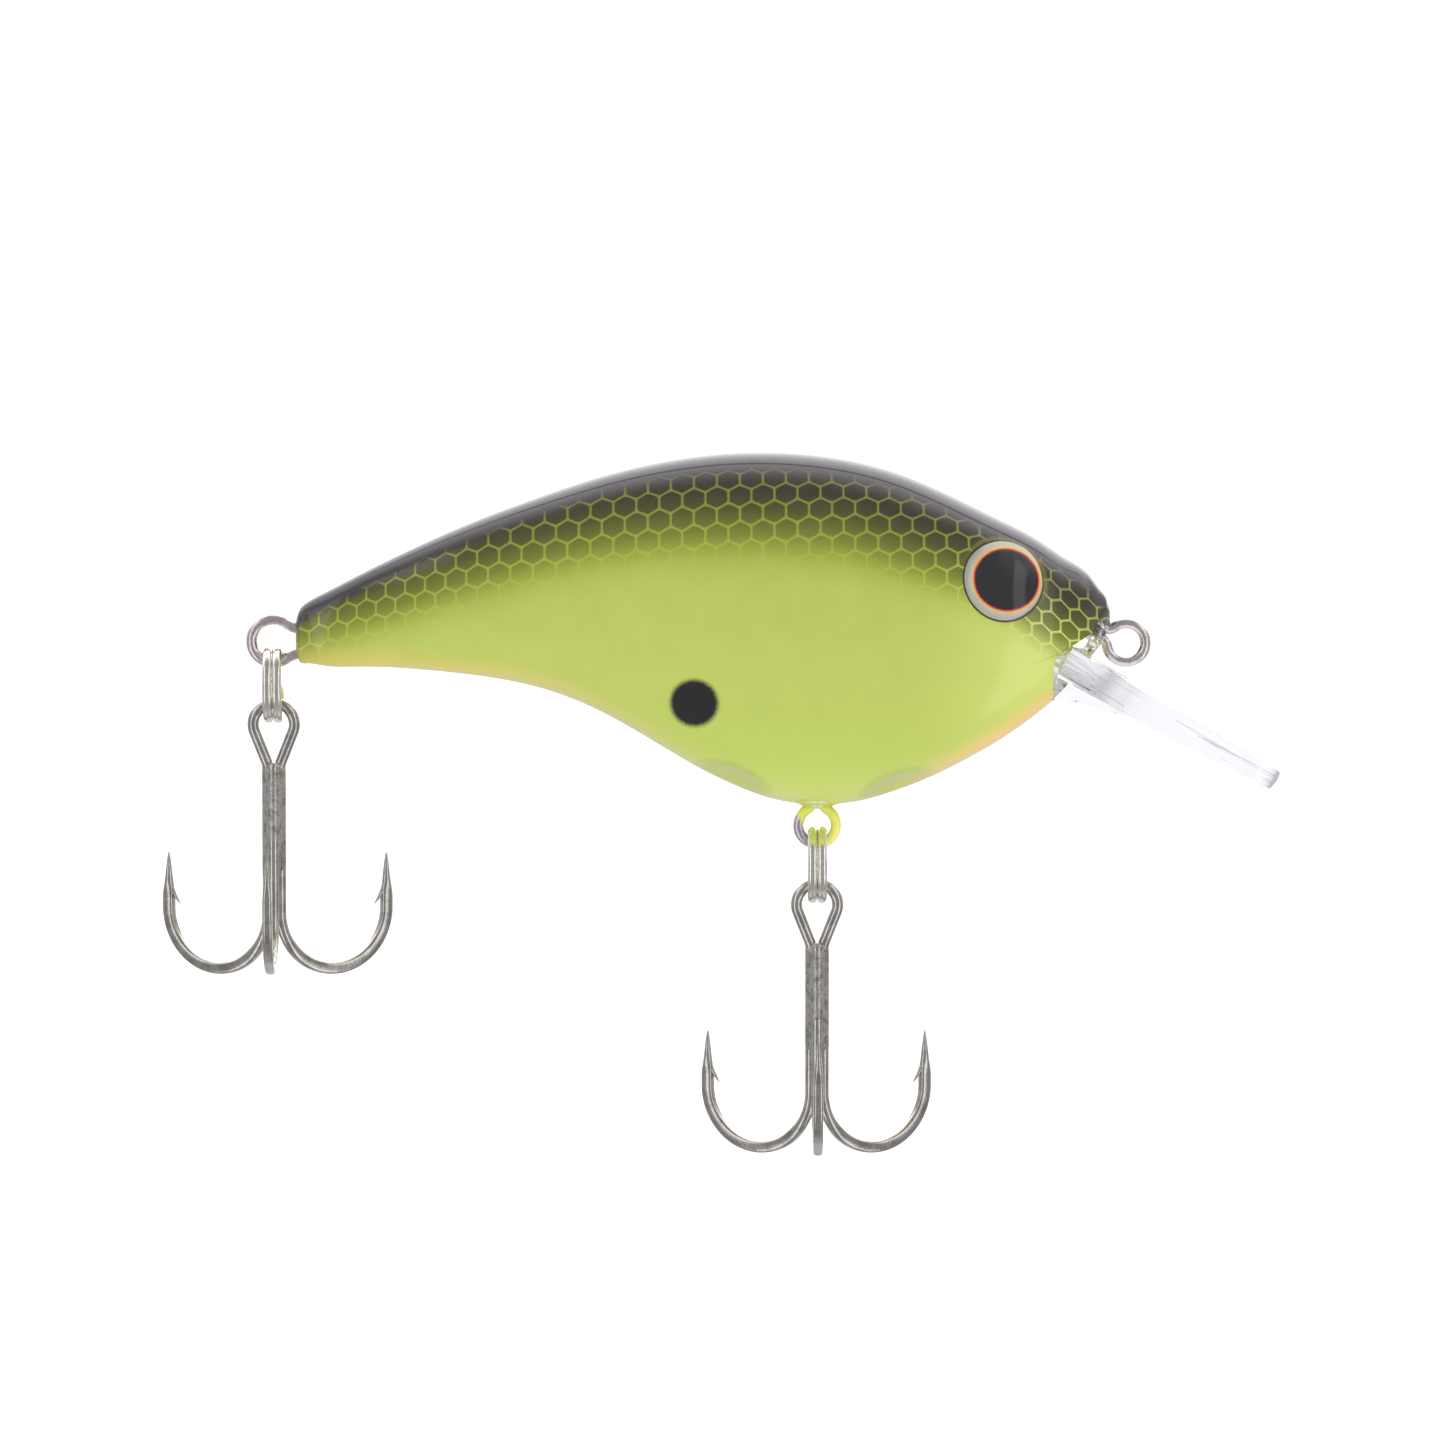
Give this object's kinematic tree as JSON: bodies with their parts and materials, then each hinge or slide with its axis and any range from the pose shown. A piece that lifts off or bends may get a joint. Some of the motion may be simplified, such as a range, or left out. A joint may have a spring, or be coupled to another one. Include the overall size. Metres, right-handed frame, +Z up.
{
  "type": "crankbait lure",
  "caption": "Flat-sided diving crankbait with a clear lip, wire line tie, inner ballast and rattle, and treble hooks on split rings under the belly and tail.",
  "frame": {"origin": "centre of the line tie eye at the nose", "axes": "+X towards the nose, +Z up as the lure swims, +Y towards its left side, square to the flat sides"},
  "size_m": [0.0877, 0.019, 0.0556],
  "materials": {
    "painted_body": "chartreuse sprayed body with a black scaled back under a gloss clear coat",
    "clear_lip": "clear polycarbonate",
    "steel_wire": "bright stainless wire",
    "painted_wire": "stainless wire with paint overspray",
    "ballast_metal": "cast ballast",
    "ball_metal": "polished steel ball",
    "iris_print": "printed black pupil with a red and gold rim",
    "eye_lens_clear": "clear domed epoxy",
    "ring_steel": "nickel-plated spring steel",
    "hook_wire": "black-nickel hook wire",
    "braze_metal": "black-nickel over braze"
  },
  "bodies": {
    "lure_body": {"body_shell_right": "painted_body", "body_shell_left": "painted_body", "diving_lip": "clear_lip", "line_tie_wire": "steel_wire", "belly_hanger_wire": "painted_wire", "tail_hanger_wire": "steel_wire", "belly_ballast": "ballast_metal", "eye_iris_right": "iris_print", "eye_iris_left": "iris_print", "eye_lens_right": "eye_lens_clear", "eye_lens_left": "eye_lens_clear"},
    "rattle": {"rattle_ball": "ball_metal"},
    "belly_ring": {"belly_split_ring": "ring_steel"},
    "belly_hook": {"belly_hook_double_wire": "hook_wire", "belly_hook_single_wire": "hook_wire", "belly_hook_braze": "braze_metal"},
    "tail_ring": {"tail_split_ring": "ring_steel"},
    "tail_hook": {"tail_hook_double_wire": "hook_wire", "tail_hook_single_wire": "hook_wire", "tail_hook_braze": "braze_metal"}
  },
  "joints": [
    {"name": "rattle_slide", "type": "slide", "parent": "lure_body", "child": "rattle", "axis": [0, 1, 0], "range_m": [-0.0028, 0.0028]},
    {"name": "belly_ring_swing", "type": "hinge", "parent": "lure_body", "child": "belly_ring", "pos_m": [-0.02425, 0, -0.0144], "axis": [0, 1, 0], "range_deg": [-80, 80]},
    {"name": "belly_hook_side_swing", "type": "hinge", "parent": "belly_ring", "child": "belly_hook", "pos_m": [-0.02425, 0, -0.01744], "axis": [1, 0, 0], "range_deg": [-85, 85]},
    {"name": "tail_ring_swing", "type": "hinge", "parent": "lure_body", "child": "tail_ring", "pos_m": [-0.06698, 0, 0.00013], "axis": [0, 1, 0], "range_deg": [-45, 130]},
    {"name": "tail_hook_side_swing", "type": "hinge", "parent": "tail_ring", "child": "tail_hook", "pos_m": [-0.06698, 0, -0.00321], "axis": [1, 0, 0], "range_deg": [-85, 85]}
  ]
}
